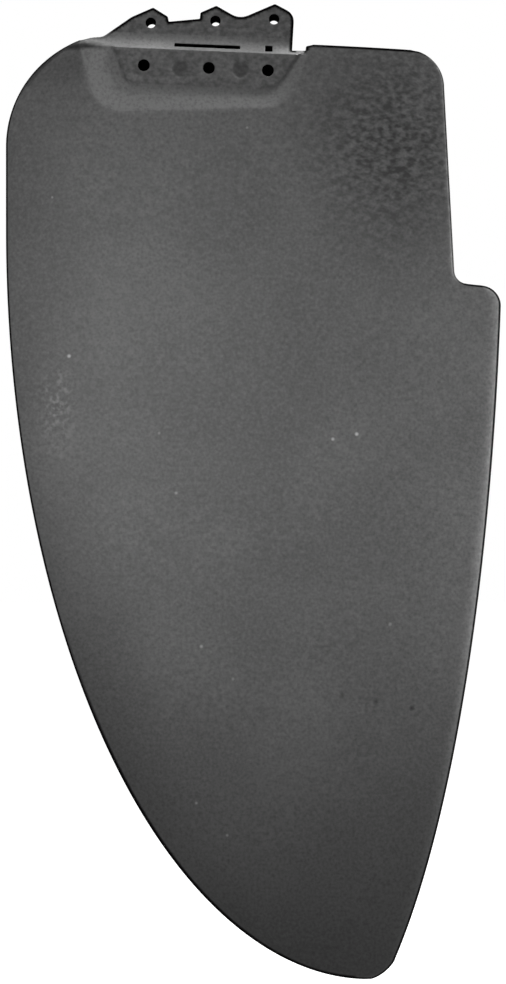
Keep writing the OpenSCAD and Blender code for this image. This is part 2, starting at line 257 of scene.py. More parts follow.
GAP_W, GAP_FLOOR, SIDE_DRAFT, BEVEL_ONSET = 6.5, 10.9, 2.4, 0.5
mounts = {m["name"]: m for m in frame["record"]["mounts"]}
bolt_at = {name: np.array(m["pos_m"])[[0, 2]] * 1000 for name, m in mounts.items() if m["kind"] == "bore"}
upper_mid = bolt_at["upper_bolt_mid"]
upper_run = bolt_at["upper_bolt_aft"] - upper_mid
PITCH_FORE = np.hypot(*(bolt_at["upper_bolt_fore"] - upper_mid))
PITCH_AFT = np.hypot(*upper_run)
UPPER_TILT = -math.atan2(upper_run[1], upper_run[0])
AFT_WALL = upper_mid[0] + PITCH_AFT + FLANGE_AFT + GAP_W
BEVEL_AFT = AFT_WALL - GAP_FLOOR * math.tan(PAD_TILT)
# The flange's corners, fore to aft along the row of upper bolts, each with the length of its turn.
flange_corners = np.array([
    [-PITCH_FORE - RAMP_TAIL[0], FLANGE_ROOT, 0],
    [-PITCH_FORE - RAMP_TAIL[0], -RAMP_TAIL[1], 0],
    [-PITCH_FORE - RAMP_FOOT[0], -RAMP_FOOT[1], RAMP_TURN],
    [-PITCH_FORE - LUG_HALF - FORE_FLARE, LUG_SHOULDER - FORE_SHOULDERS[0], RAMP_TURN],
    [-PITCH_FORE + FORE_SKEW, LUG_H, PEAK_TURN],
    [-PITCH_FORE + LUG_HALF, LUG_SHOULDER - FORE_SHOULDERS[1], PEAK_TURN],
    [-PITCH_FORE + LUG_HALF + LUG_FLANK, LUG_VALLEY - VALLEY_TILT, FOOT_TURN],
    [-LUG_HALF + MID_PINCH - LUG_FLANK, LUG_VALLEY, FOOT_TURN],
    [-LUG_HALF + MID_PINCH, LUG_SHOULDER, PEAK_TURN],
    [LUG_SKEW, LUG_H, PEAK_TURN],
    [VALLEY_SHARE * PITCH_AFT, LUG_VALLEY - VALLEY_DIP, VALLEY_TURN],
    [PITCH_AFT + LUG_SKEW, LUG_H, PEAK_TURN],
    [PITCH_AFT + FLANGE_AFT, LUG_SHOULDER - FLANGE_FALL, FLANGE_CORNER],
    [PITCH_AFT + FLANGE_AFT - SIDE_DRAFT, FLANGE_ROOT, 0]])
flange_outline = upper_mid + spun(turned(flange_corners[:, :2], flange_corners[:, 2]), UPPER_TILT)


def bevel_half(level):
    """Half the thickness under the bevel, at points level with the pad: from the pad's face at its upper
    edge it falls to the flange by a power of what is left of the bevel's height. The curve starts a share
    of that height below the edge, and further down the bevel takes nothing away."""
    share = (level[:, 1] - PAD_ABOVE) / BEVEL_H
    left = 1 - np.clip(share, -BEVEL_ONSET, 1)
    hollow = FLANGE_HALF + (PAD_HALF - FLANGE_HALF) * left ** BEVEL_POWER
    return np.where(share > -BEVEL_ONSET, hollow, 2 * ROOT_HALF)


# The skin's outline, round from the shoulder down the leading edge to the tip, up the trailing edge and
# back over the head. Moulded edges that end in a wall get a small radius; the foil's own edges close.
TOP_ROUND, FLANGE_ROUND, RIDGE_ROUND = 0.5, 0.35, 3.2
RIDGE_RUN, RIDGE_AHEAD, CLIFF_RUN = 8.0, 1.2, 1.8
SHOULDER_CUTS, QUARTER_CUTS, LOWER_CUTS = 56, (161, 26, 15, 40), 116
FOIL_CUT, SHELF_CUT, TOP_CUT, CLIFF_CUT, HEAD_CUT = 3.6, 1.5, 2.5, 0.3, 0.9
ridge_x = flange_outline[1, 0] - RIDGE_AHEAD
fore_turn = np.linspace(math.acos((ridge_x - SHOULDER_X) / SHOULDER_R), math.pi, SHOULDER_CUTS)
sweep_turn, tip_turn, step_turn, corner_turn = (np.linspace(0, math.pi / 2, n) for n in QUARTER_CUTS)
lower_z = np.linspace(TIP_Z, SHELF_Z - STEP_CORNER, LOWER_CUTS)


def paired(x, z):
    """Two rows of coordinates as one array of points."""
    return np.stack([x, z], 1)


def top_edge(x):
    """The blade's aft top edge: a straight line that falls aft from the gap's wall."""
    return TOP_H - (x - AFT_WALL) * TOP_FALL


hollow_line = paired(SHELF_X - STEP_FILLET * np.sin(step_turn), STEP_Z - STEP_FILLET * np.cos(step_turn))
corner_line = paired(upper_edge(CORNER_Z) - CORNER_R + CORNER_R * np.cos(corner_turn),
                     CORNER_Z + CORNER_R * np.sin(corner_turn))
corner_line = corner_line[corner_line[:, 1] < top_edge(corner_line[:, 0])]
foil_path = np.vstack([
    paired(SHOULDER_X + SHOULDER_R * np.cos(fore_turn), SHOULDER_Z + SHOULDER_R * np.sin(fore_turn)),
    paired(TIP_AFT - (TIP_AFT + BLADE_FORE) * np.cos(sweep_turn),
           -NOSE_DROP - (BLADE_DROP - NOSE_DROP) * np.sin(sweep_turn)),
    paired(TIP_AFT + (TIP_X - TIP_AFT) * np.sin(tip_turn) ** (2 / TIP_POWER),
           TIP_Z - TIP_R * np.cos(tip_turn) ** (2 / TIP_POWER))[1:],
    paired(lower_edge(lower_z), lower_z)[1:],
    paired(STEP_X + STEP_CORNER * np.cos(step_turn), SHELF_Z - STEP_CORNER * (1 - np.sin(step_turn)))[1:],
    divided(np.array([[STEP_X, SHELF_Z], [SHELF_X, -STEP_DROP]]), SHELF_CUT)[1:],
    hollow_line[1:], corner_line])
foil_path = divided(foil_path, FOIL_CUT)
top_aft = [foil_path[-1, 0], top_edge(foil_path[-1, 0])]
top_fore = [AFT_WALL + CLIFF_RUN, top_edge(AFT_WALL + CLIFF_RUN)]
flange_side = flange_outline[-2:]
side_share = (GAP_FLOOR - flange_side[0, 1]) / (flange_side[1, 1] - flange_side[0, 1])
gap_foot = flange_side[0] + side_share * (flange_side[1] - flange_side[0])
over_head = flange_outline[2:-1][::-1]
gap_path = [[AFT_WALL, TOP_H], [AFT_WALL, GAP_FLOOR], gap_foot]
wall_path = np.vstack([
    divided(np.array([foil_path[-1], top_aft, top_fore]), TOP_CUT)[1:],
    divided(np.array([top_fore, [AFT_WALL, TOP_H]]), CLIFF_CUT)[1:],
    divided(np.vstack([gap_path, over_head, foil_path[:1]]), HEAD_CUT)[1:-1]])
outline = np.vstack([foil_path, wall_path])
wall_round = np.where(wall_path[:, 0] > AFT_WALL - 0.5 * HEAD_CUT, TOP_ROUND, FLANGE_ROUND)
to_ridge = np.clip((over_head[-1, 0] - wall_path[:, 0]) / RIDGE_RUN, 0, 1)
wall_round = wall_round + (RIDGE_ROUND - wall_round) * to_ridge
edge_rounds = np.concatenate([np.zeros(len(foil_path) - 1), wall_round[:1], wall_round])


# The holes: three bolts through the pad, three through the flange, and a slot and a square hole in the
# bevel, all moulded straight through with a slightly broken edge.
HOLE_ROUND, RING_POINTS = 0.45, 44
SLOT_W, SLOT_H, SLOT_FORE, SLOT_SHARE, SLOT_TURN, SLOT_CUT = 37.4, 2.2, 1.6, 0.4, 0.5, 0.8
KEY_W, KEY_H, KEY_SINK = 4.0, 4.0, 0.1
SLOT_RISE = PAD_ABOVE + SLOT_SHARE * BEVEL_H
RIM_BLEND, BEVEL_BLEND, CLIFF_HALF, ROUND_SHARE, ON_EDGE = 0.5, 0.35, 0.3, 0.9, 0.01
around = np.linspace(0, 2 * math.pi, RING_POINTS + 1)[:-1]
ring = paired(np.cos(around), np.sin(around))
holes = [bolt_at[name] + mounts[name]["dims"]["r_mm"] * ring for name in bolt_at]
for mid_x, mid_z, wide, high in ((-SLOT_FORE, SLOT_RISE, SLOT_W, SLOT_H),
                                 (PITCH_AFT, SLOT_RISE - KEY_SINK, KEY_W, KEY_H)):
    mouth = np.array([[-1, -1], [1, -1], [1, 1], [-1, 1]]) * [wide / 2, high / 2] + [mid_x, mid_z]
    holes.append(spun(divided(turned(mouth, [SLOT_TURN] * 4), SLOT_CUT, closed=True), PAD_TILT))


def skin_half(points):
    """Half the moulding's thickness at each point of its side: the foil, cut by the recess and the bevel
    and grown by the flange, then rounded by a quarter circle towards each edge that ends in a wall. Gives
    also how far each point is from the outline, off the pad and inside the scoop's rim."""
    level = spun(points, -PAD_TILT)
    half = foil_half(points[:, 0], points[:, 1])
    recess, off_pad, to_rim = recess_half(level, half)
    half = lesser(half, recess, RIM_BLEND)
    behind = smooth_step((level[:, 0] - BEVEL_AFT + CLIFF_HALF) / (2 * CLIFF_HALF))
    half = behind * half + (1 - behind) * lesser(half, bevel_half(level), BEVEL_BLEND)
    in_flange = from_loop(points, flange_outline)[0] > -ON_EDGE
    half = np.where(in_flange, np.maximum(half, FLANGE_HALF), half)
    to_edge, stretch = from_loop(points, outline)
    to_edge = np.maximum(0, to_edge)
    radius = np.minimum(edge_rounds[stretch], ROUND_SHARE * half)
    half = half - radius + half_chord(radius, np.maximum(0, radius - to_edge))
    closes = (edge_rounds[stretch] == 0) & (to_edge < ON_EDGE)
    for hole in holes:
        near = np.clip(HOLE_ROUND + from_loop(points, hole)[0], 0, HOLE_ROUND)
        half = half - HOLE_ROUND + half_chord(HOLE_ROUND, near)
    return np.where(closes, 0, half), to_edge, off_pad, to_rim


# The skin's points: rows that follow each edge, rim and bevel, filled in by staggered rows that are close
# on the head and wide on the plain blade. A Delaunay triangulation joins them, and the far side mirrors
# the near one. Rows are given by how far in they lie, and bands by a middle and half a width.
HEAD = np.array([[-86.0, -36.0], [64.0, 42.0]])
FINE, MIDDLE, WIDE, STAGGER_RISE, ROW_CUT = 1.15, 2.8, 5.5, 0.866, 1.0
MIDDLE_REACH, WIDE_REACH = (0.4, 18.0), (18.9, 1000.0)
EDGE_ROWS = (0.15, 0.6, 1.15, 1.7, 2.6, 4.2, 6.5, 9.5, 13.0)
HEAD_ROWS, WALL_ROWS, HOLE_ROWS = (0.15, 0.6, 1.15, 1.7, 2.4), (0.12, 0.4, 0.8, 1.15), (0.15, 0.45, 0.9)
PAD_ROWS, RIM_ROWS = (-0.6, 0, 0.4, 0.8, 1.2, 1.6, 2.0, 2.4, 3.1), (-1.0, -0.4, 0, 0.4, 1.0)
MARK_ROWS, CLIFF_ROWS, SPECK_ROWS = (4.6, 4.9, 5.2), (-0.9, -0.3, 0, 0.3, 0.9), (0, 0.6, 1.1)
BEVEL_ROWS, BEVEL_START, BEVEL_STOP = np.arange(0, 1.13, 0.08), -84.0, 0.5
PAD_BAND, RIM_BAND, MARK_BAND = (1.2, 2.6), (0, 1.7), (4.9, 0.8)
BEVEL_BAND, CLIFF_BAND, CLIFF_SPAN, UNDER_BEVEL = (0.53, 0.68), (0, 1.6), (6, 8), 0.4
ROW_CLEAR, CLIFF_CLEAR, HOLE_CLEAR, FILL_CLEAR, WALL_CLEAR, FOIL_CLEAR = 1.5, 0.3, 1.3, 14.5, 1.6, 3.1
CROWDED, MERGED, INSIDE_ONLY, SHUT_HALF = 0.96, 1e-4, 1, 0.02
WALL_LINE, WALL_SHARE, SHARP_ANGLE = 0.7, 0.4, math.radians(38)
# Chips of dust and small stains that show on the side: place, radius, and shade from -1 dark to 1 white.
SPECKS = np.array([
    [-79.3, -163.3, 1.3, 0.9], [-88.8, -73.3, 0.9, 0.4], [21.7, -34.3, 1.0, 0.35],
    [70.4, -210.4, 1.2, 0.75], [84.0, -207.5, 1.3, 1.0], [-18.6, -241.0, 1.1, 0.45],
    [-28.2, -207.0, 1.0, 0.3], [-4.4, -328.3, 1.2, 0.5], [103.3, -315.8, 1.3, 0.3],
    [13.7, -346.9, 1.1, 0.3], [-7.3, -417.9, 1.0, 0.35], [10.3, -436.4, 1.0, 0.3],
    [76.0, -356.5, 2.0, -0.5], [95.3, -359.9, 2.2, -0.6], [115.7, -363.9, 1.8, -0.9]])


def in_box(points, box, grow=0.0):
    """Whether each point lies in a box grown by an amount on every side."""
    return ((points > box[0] - grow) & (points < box[1] + grow)).all(1)


def in_band(values, band):
    """Whether each value lies less than half a band's width from its middle."""
    return np.abs(values - band[0]) < band[1]


def staggered(box, step):
    """Rows of points a step apart over a box, every second row shifted by half a step."""
    x, z = np.meshgrid(np.arange(box[0][0], box[1][0], step),
                       np.arange(box[0][1], box[1][1], STAGGER_RISE * step))
    x = x + 0.5 * step * (np.arange(len(z)) % 2)[:, None]
    return paired(x.ravel(), z.ravel())


def off_marks(level):
    """Each point's distance from the middle of every ejector mark."""
    return np.hypot(*(level[:, None] - MARKS).transpose(2, 0, 1))


on_head = in_box(outline, HEAD)
is_wall = np.arange(len(outline)) >= len(foil_path)
edge_kinds = ((EDGE_ROWS, ~on_head), (HEAD_ROWS, on_head & ~is_wall), (WALL_ROWS, on_head & is_wall))
rows = []
for amounts, chosen in edge_kinds:
    for amount in amounts:
        row = inset(outline, amount)[chosen]
        rows.append(row[from_loop(row, outline)[0] > CROWDED * amount])
pad_rows = [divided(pad_outline(out), ROW_CUT) for out in PAD_ROWS]
rim = divided(scoop_outline(), ROW_CUT)
rim_rows = [inset(rim, amount)[1:-1] for amount in RIM_ROWS]
mark_rows = [mark + r * ring for mark in MARKS for r in MARK_ROWS]
level_rows = np.vstack(pad_rows + rim_rows + mark_rows)
level_rows = level_rows[level_rows[:, 1] < PAD_ABOVE - UNDER_BEVEL]
bevel_x, bevel_t = np.meshgrid(np.arange(BEVEL_START, BEVEL_AFT - BEVEL_STOP, HEAD_CUT), BEVEL_ROWS)
bevel_rows = paired(bevel_x.ravel(), PAD_ABOVE + BEVEL_H * bevel_t.ravel())
level_rows = spun(np.vstack([level_rows, bevel_rows]), PAD_TILT)
rows.append(level_rows[from_loop(level_rows, outline)[0] > ROW_CLEAR])
cliff_x, cliff_z = np.meshgrid(BEVEL_AFT + np.array(CLIFF_ROWS), np.arange(0, TOP_H, HEAD_CUT))
cliff_rows = spun(paired(cliff_x.ravel(), cliff_z.ravel()), PAD_TILT)
rows.append(cliff_rows[from_loop(cliff_rows, outline)[0] > CLIFF_CLEAR])
fine = staggered(HEAD, FINE)
fine_edge, fine_stretch = from_loop(fine, outline)
fine_level = spun(fine, -PAD_TILT)
level_x, level_z = fine_level.T
_, fine_pad, fine_rim = recess_half(fine_level, ROOT_HALF)
on_rows = (level_z < PAD_ABOVE - UNDER_BEVEL) & (in_band(fine_pad, PAD_BAND) | in_band(fine_rim, RIM_BAND))
on_bevel = in_band((level_z - PAD_ABOVE) / BEVEL_H, BEVEL_BAND) & (level_x < BEVEL_AFT)
on_cliff = in_band(level_x - BEVEL_AFT, CLIFF_BAND) & in_band(level_z, CLIFF_SPAN)
on_mark = in_band(off_marks(fine_level), MARK_BAND).any(1)
clear = fine_edge > np.where(edge_rounds[fine_stretch] > 0, WALL_CLEAR, FOIL_CLEAR)
rows.append(fine[clear & ~(on_rows | on_bevel | on_cliff | on_mark)])
blade_box = np.array([[-BLADE_FORE, -BLADE_DROP], [BLADE_AFT, TOP_H]])
for step, (inner, outer) in ((MIDDLE, MIDDLE_REACH), (WIDE, WIDE_REACH)):
    fill = staggered(blade_box, step)
    fill = fill[in_box(fill, HEAD, outer) & ~in_box(fill, HEAD, inner)]
    rows.append(fill[from_loop(fill, outline)[0] > FILL_CLEAR])
for hole in holes:
    rows = [row[from_loop(row, hole)[0] < -HOLE_CLEAR] for row in rows]
for hole in holes:
    rows.extend(inset(hole, -amount) for amount in HOLE_ROWS)
for place, reach in zip(SPECKS[:, :2], SPECKS[:, 2]):
    rows.extend(place + share * reach * ring[::4] for share in SPECK_ROWS)

# The triangulation keeps the outline and the holes as edges. Triangles across a hole or outside go.
loops = [outline] + holes
points = np.vstack(loops + rows)
ties, start = [], 0
for loop in loops:
    i = np.arange(len(loop))
    ties.append(start + np.stack([i, (i + 1) % len(loop)], 1))
    start += len(loop)
made = delaunay_2d_cdt(
    [Vector(p) for p in points.tolist()], np.vstack(ties).tolist(), [], INSIDE_ONLY, MERGED, False)
side = np.array([v[:] for v in made[0]], float)
tris = np.array(made[2])
half, to_edge, off_pad, to_rim = skin_half(side)
rim_only = np.flatnonzero((to_edge[tris] < ON_EDGE).all(1))
outside = rim_only[from_loop(side[tris[rim_only]].mean(1), outline)[0] < 0]
tris = np.delete(tris, outside, 0)
for hole in holes:
    tris = tris[from_loop(side[tris].mean(1), hole)[0] < 0]
p, q, r = side[tris].transpose(1, 0, 2)
turn = (q - p)[:, 0] * (r - p)[:, 1] - (q - p)[:, 1] * (r - p)[:, 0]
tris = np.where((turn < 0)[:, None], tris[:, ::-1], tris)

# The near and far sides share the points where the skin closes. Elsewhere a wall of three strips joins
# them, so that the outer strips can carry a painted line of edge shade.
count = len(side)
shut = half < SHUT_HALF
tris = tris[~shut[tris].all(1)]
far = np.where(shut, np.arange(count), count + np.cumsum(~shut) - 1)
edges = np.concatenate([tris[:, [0, 1]], tris[:, [1, 2]], tris[:, [2, 0]]])
key = np.sort(edges, 1) @ np.array([count, 1])
_, first, times = np.unique(key, return_index=True, return_counts=True)
a, b = edges[first[times == 1]].T
on_wall = np.setdiff1d(np.concatenate([a, b]), np.flatnonzero(shut))
wall_half = half[on_wall] - np.minimum(WALL_LINE, WALL_SHARE * half[on_wall])
near_line, far_line = np.arange(count), far.copy()
near_line[on_wall] = count + (~shut).sum() + np.arange(len(on_wall))
far_line[on_wall] = near_line[on_wall] + len(on_wall)
walls = []
for upper, lower in ((np.arange(count), near_line), (near_line, far_line), (far_line, far)):
    quads = np.stack([upper[b], upper[a], lower[a], lower[b]], 1)
    walls += quads[~shut[a] & ~shut[b]].tolist()
    walls += quads[~shut[a] & shut[b]][:, [0, 1, 2]].tolist()
    walls += quads[shut[a] & ~shut[b]][:, [0, 1, 3]].tolist()
places = [(side, -half), (side[~shut], half[~shut])]
places += [(side[on_wall], -wall_half), (side[on_wall], wall_half)]
corners = np.vstack([np.stack([row[:, 0], y, row[:, 1]], 1) for row, y in places])
blade_mesh = bpy.data.meshes.new("blade_moulding")
blade_mesh.from_pydata((corners / 1000).tolist(), [], tris.tolist() + far[tris[:, ::-1]].tolist() + walls)
blade_mesh.shade_smooth()
blade_mesh.set_sharp_from_angle(angle=SHARP_ANGLE)
blade = bpy.data.objects.new("blade_moulding", blade_mesh)
bpy.context.scene.collection.objects.link(blade)
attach(blade, "root")
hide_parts("rudder_blade")


# The plastic: glass-filled nylon as it comes from a mould, dark grey and matte. Glass near the skin gives
# it a fine grain and faint clouds. The bolting faces and the upper aft corner are mottled, the scoops are
# lighter and the fore and upper bevel carry a painted highlight, painted shade darkens the shoulder and the
# tip, lines the edges, fills the corner under the ridge and blackens the holes, and a scuff, dust and
# stains show.
NYLON_DARK, NYLON_LIGHT, FACE_GREY, SCOOP_AND_BEVEL_LIGHT_GREY = "#575757", "#5f5f5f", "#5c5c5c", "#636363"
PIT_GREY, TIP_GREY, SHADE_GREY, SPOT_GREY = "#3a3a3a", "#747474", "#b4b4b4", "#303030"
SCUFF_GREY, STAIN_GREY, DUST_GREY = "#7a7a7a", "#242424", "#b4b4b4"
EDGE_SHADE_BLACK, BORE_SHADE_BLACK = "#0a0a0a", "#060606"
GRAIN, SPOT, CLOUD, SCUFF, SPOT_SLANT, SPOT_STRETCH = 1.7, 2.7, 80.0, 2.6, math.radians(-35), 0.65
# Where each finish, painted shade and painted highlight lies: a patch has a middle and a reach, and a fade
# has a start and a run.
MOTTLED, MOTTLE_REACH, FACE_MOTTLE, STREAK = np.array([106.0, -42.0]), np.array([54.0, 60.0]), 0.6, 0.2
SCUFFED, SCUFF_REACH = np.array([-86.0, -192.0]), np.array([9.0, 26.0])
# Painted shade in the corner under the ridge, at the top of the scoop's fore wall: middle, reach, strength.
RIDGE_SHADE_AT, RIDGE_SHADE_REACH, RIDGE_SHADE = np.array([-74.0, 13.4]), np.array([12.0, 1.9]), 0.7
BEVEL_FADE, FLANGE_FADE, FACE_FADE = (0, 1.0), (0, 1.5), (0, 1.2)
SCOOP_FADE, FOOT_FADE = (0, 0.8), (0.8 * PAD_WALL, 1.2)
# Where the painted highlight lies on the bevel's fore end and upper part.
FORE_FADE, LOW_BEVEL_FADE, HIGH_BEVEL_FADE = (4, 28), (-0.05, 0.1), (0.2, 0.4)
BEVEL_TOP, BEVEL_TOP_RUN = 0.7, (10, 40)
# Painted shade on the shoulder, and a wider line of it along the shoulder's edge.
SHOULDER_FADE, SHOULDER_RISE, SHOULDER_SHADE, DARK_RIM_FADE = (-4, 6), (-18, 26), 0.62, (-0.4, 0.8)
SHOULDER_LINE, SHOULDER_EDGE_SHADE = (1.7, 3.2), 0.85
# Painted shade that darkens the blade towards its tip.
TIP_BOW, TIP_MID, TIP_SPAN, TIP_SLANT, TIP_FADE = 40, 30, 80, 0.35, (320, 205)
# The painted line of edge shade along the outline: thinner on thin and blunt edges, wider on the low nose.
EDGE_LINE, LEAST_LINE, BLUNT_LINE, UPPER_THIN, LOWER_THIN = (1.15, 1.7), 0.3, (3.5, 5.5), 2, 0.9
NOSE_FADE, NOSE_WIDER, NOSE_END = (300, 100), 0.5, TIP_AFT - 10
RIDGE_SPAN, RIDGE_LESS_SHADE, GAP_INSET, GAP_NEAR = (-76, -72, -58, -54), 0.8, 0.4, 2
SPECK_EDGE, MARK_SHADE, MARK_FADE, WALL_EDGE_SHADE, DULL_FROM = 1.1, 0.5, (0, 1.5), 0.3, 0.1


def fade(value, start, run):
    """A soft climb from 0, where a value is at its start, to 1 a run further on."""
    return smooth_step((value - start) / run)


def patch(middle, reach, power):
    """1 at a patch's middle, falling away on every side: e to the minus sum of the shares of its reach in
    x and in z, each raised to a power."""
    return np.exp(-(((side - middle) / reach) ** power).sum(1))


side_x, side_z = side.T
side_level = spun(side, -PAD_TILT)
up_bevel = (side_level[:, 1] - PAD_ABOVE) / BEVEL_H
under_bevel = fade(PAD_ABOVE - side_level[:, 1], *BEVEL_FADE)
over_bevel = fade(side_level[:, 1] - PAD_ABOVE - BEVEL_H, *FLANGE_FADE) * (side_level[:, 0] < AFT_WALL)
on_face = np.maximum(over_bevel, under_bevel * fade(PAD_WALL - off_pad, *FACE_FADE))
in_scoop = under_bevel * fade(to_rim, *SCOOP_FADE) * fade(off_pad, *FOOT_FADE)
# A painted highlight lightens the bevel's fore end and its upper part; the scoop's own tone is lighter.
bevel_fore = fade(up_bevel, *LOW_BEVEL_FADE) * fade(-side_x, *FORE_FADE)
bevel_top = np.interp(side_x, BEVEL_TOP_RUN, [BEVEL_TOP, 0]) * fade(up_bevel, *HIGH_BEVEL_FADE)
painted_bevel_light = np.maximum(bevel_top, bevel_fore) * (1 - over_bevel) * (side_x < BEVEL_AFT)
scoop_tone_and_bevel_light = np.maximum(in_scoop, painted_bevel_light)
# Painted shade darkens the shoulder outside the scoop and the blade towards its tip.
on_shoulder = fade(ridge_x - side_x, *SHOULDER_FADE) * fade(side_z, *SHOULDER_RISE)
painted_tip_shade = fade(TIP_BOW * ((side_x - TIP_MID) / TIP_SPAN) ** 2 - side_z - TIP_SLANT * side_x, *TIP_FADE)
streaked = STREAK * (1 - painted_tip_shade) * (1 - scoop_tone_and_bevel_light)

# The painted line of edge shade is fainter on the ridge and where the edge is thin, wider on the low nose,
# and stops in the gap.
on_ridge = np.interp(side_x, RIDGE_SPAN, [0, 1, 1, 0]) * (side_z > GAP_FLOOR)
low_nose = fade(-side_z, *NOSE_FADE) * (side_x < NOSE_END)
above_step = side_z > -STEP_DROP
blunt_share = np.interp(half, BLUNT_LINE, [LEAST_LINE, 1])
thin_share = np.clip(half / np.where(above_step, UPPER_THIN, LOWER_THIN), LEAST_LINE, 1)
edge_shade_line = np.interp(to_edge - NOSE_WIDER * low_nose, EDGE_LINE, [1, 0]) * (1 - RIDGE_LESS_SHADE * on_ridge)
edge_shade_line = edge_shade_line * np.where(above_step & (side_x > AFT_WALL), blunt_share, thin_share)
in_gap = np.abs(side - [AFT_WALL - 0.5 * GAP_W, GAP_FLOOR]) < [0.5 * GAP_W - GAP_INSET, GAP_NEAR]
edge_shade_line = np.where(in_gap.all(1), 0, edge_shade_line)
shoulder_shade_line = on_shoulder * np.interp(to_edge, SHOULDER_LINE, [SHOULDER_EDGE_SHADE, 0])
painted_shoulder_shade = SHOULDER_SHADE * on_shoulder * (1 - fade(to_rim, *DARK_RIM_FADE))
off_speck = np.hypot(*(side[:, None] - SPECKS[:, :2]).transpose(2, 0, 1)) / SPECKS[:, 2]
specks = (np.clip(SPECK_EDGE - off_speck, 0, 1) * SPECKS[:, 3]).sum(1)
# The edge line, the corner under the ridge, the darker shoulder and tip and the bore walls are painted
# shade, and the bevel's part of the hollow is a painted highlight.
finish_and_painted_shading = {
    "painted_edge_shade": np.max([edge_shade_line, shoulder_shade_line, RIDGE_SHADE * patch(RIDGE_SHADE_AT, RIDGE_SHADE_REACH, 4)], 0),
    "bolting_face": on_face,
    "hollow": scoop_tone_and_bevel_light,
    "mottled": np.max([FACE_MOTTLE * on_face, patch(MOTTLED, MOTTLE_REACH, 2), streaked], 0),
    "scuffed": patch(SCUFFED, SCUFF_REACH, 2),
    "speck": specks - MARK_SHADE * fade(MARK_R - off_marks(side_level).min(1), *MARK_FADE),
    # The holes' walls are painted black as shade.
    "bore": np.max([np.abs(from_loop(side, hole)[0]) < ON_EDGE for hole in holes], 0),
    "painted_shade": np.maximum(painted_tip_shade, painted_shoulder_shade),
}
for name, amount in finish_and_painted_shading.items():
    layer = blade_mesh.attributes.new(name, "FLOAT", "POINT")
    on_line = amount[on_wall] * (WALL_EDGE_SHADE if name == "painted_edge_shade" else 1)
    values = np.concatenate([amount, amount[~shut], on_line, on_line])
    layer.data.foreach_set("value", values.astype(np.float32))


def linear(code):
    """An sRGB hex colour as linear red, green, blue and alpha: a straight line near black, and above it a
    power of 2.4."""
    parts = np.array([int(code[i:i + 2], 16) for i in (1, 3, 5)]) / 255
    parts = np.where(parts <= 0.04045, parts / 12.92, ((parts + 0.055) / 1.055) ** 2.4)
    return (*parts.tolist(), 1.0)


def node(tree, kind, settings={}, links={}):
    """Adds one node, sets its properties and sockets, links the sockets named in links, and returns its
    outputs."""
    made_node = tree.nodes.new(kind)
    for name, value in settings.items():
        if isinstance(name, str) and hasattr(made_node, name):
            setattr(made_node, name, value)
        else:
            made_node.inputs[name].default_value = value
    for name, source in links.items():
        tree.links.new(source, made_node.inputs[name])
    return made_node.outputs


nylon = bpy.data.materials.new("moulded_glass_filled_nylon")
nylon.use_nodes = True
tree = nylon.node_tree
where = node(tree, "ShaderNodeTexCoord")["Object"]
seen = {name: node(tree, "ShaderNodeAttribute", {"attribute_name": name})["Fac"] for name in finish_and_painted_shading}
cloud = node(tree, "ShaderNodeTexNoise", {"Scale": 1000 / CLOUD, "Detail": 2.0}, {"Vector": where})[0]
cloud = node(tree, "ShaderNodeMapRange", {"From Min": 0.35, "From Max": 0.65}, {"Value": cloud})[0]
tone = node(tree, "ShaderNodeMixRGB", {"Color1": linear(NYLON_DARK), "Color2": linear(NYLON_LIGHT)},
            {"Fac": cloud})[0]

# The grain is a third of a millimetre on the real skin and is drawn coarser, so that it shows.
grain = node(tree, "ShaderNodeTexNoise", {"Scale": 1000 / GRAIN, "Detail": 3.0}, {"Vector": where})[0]
pits = node(tree, "ShaderNodeMapRange", {"From Min": 0.5, "From Max": 0.25, "To Max": 0.45},
            {"Value": grain})[0]
tips = node(tree, "ShaderNodeMapRange", {"From Min": 0.5, "From Max": 0.75, "To Max": 0.35},
            {"Value": grain})[0]

# Mottling lies in short slanting spots, strong at the upper aft corner and faint elsewhere.
slant = node(tree, "ShaderNodeMapping", {"Rotation": (0, SPOT_SLANT, 0), "Scale": (SPOT_STRETCH, 1, 1)},
             {"Vector": where})[0]
spots = node(tree, "ShaderNodeTexNoise", {"Scale": 1000 / SPOT, "Detail": 1.5}, {"Vector": slant})[0]
spots = node(tree, "ShaderNodeMapRange", {"From Min": 0.34, "From Max": 0.66, "To Min": 0.1, "To Max": 1.0},
             {"Value": spots})[0]
spots = node(tree, "ShaderNodeMath", {"operation": "MULTIPLY"}, {0: spots, 1: seen["mottled"]})[0]

# The scuff lies in dabs. Specks below zero are stains, and those above it are dust.
dabs = node(tree, "ShaderNodeTexNoise", {"Scale": 1000 / SCUFF, "Detail": 1.0}, {"Vector": where})[0]
dabs = node(tree, "ShaderNodeMapRange", {"From Min": 0.45, "From Max": 0.75}, {"Value": dabs})[0]
dabs = node(tree, "ShaderNodeMath", {"operation": "MULTIPLY"}, {0: dabs, 1: seen["scuffed"]})[0]
stain = node(tree, "ShaderNodeMapRange", {"From Max": -1.0}, {"Value": seen["speck"]})[0]
dust = node(tree, "ShaderNodeMapRange", {"From Max": 1.0}, {"Value": seen["speck"]})[0]
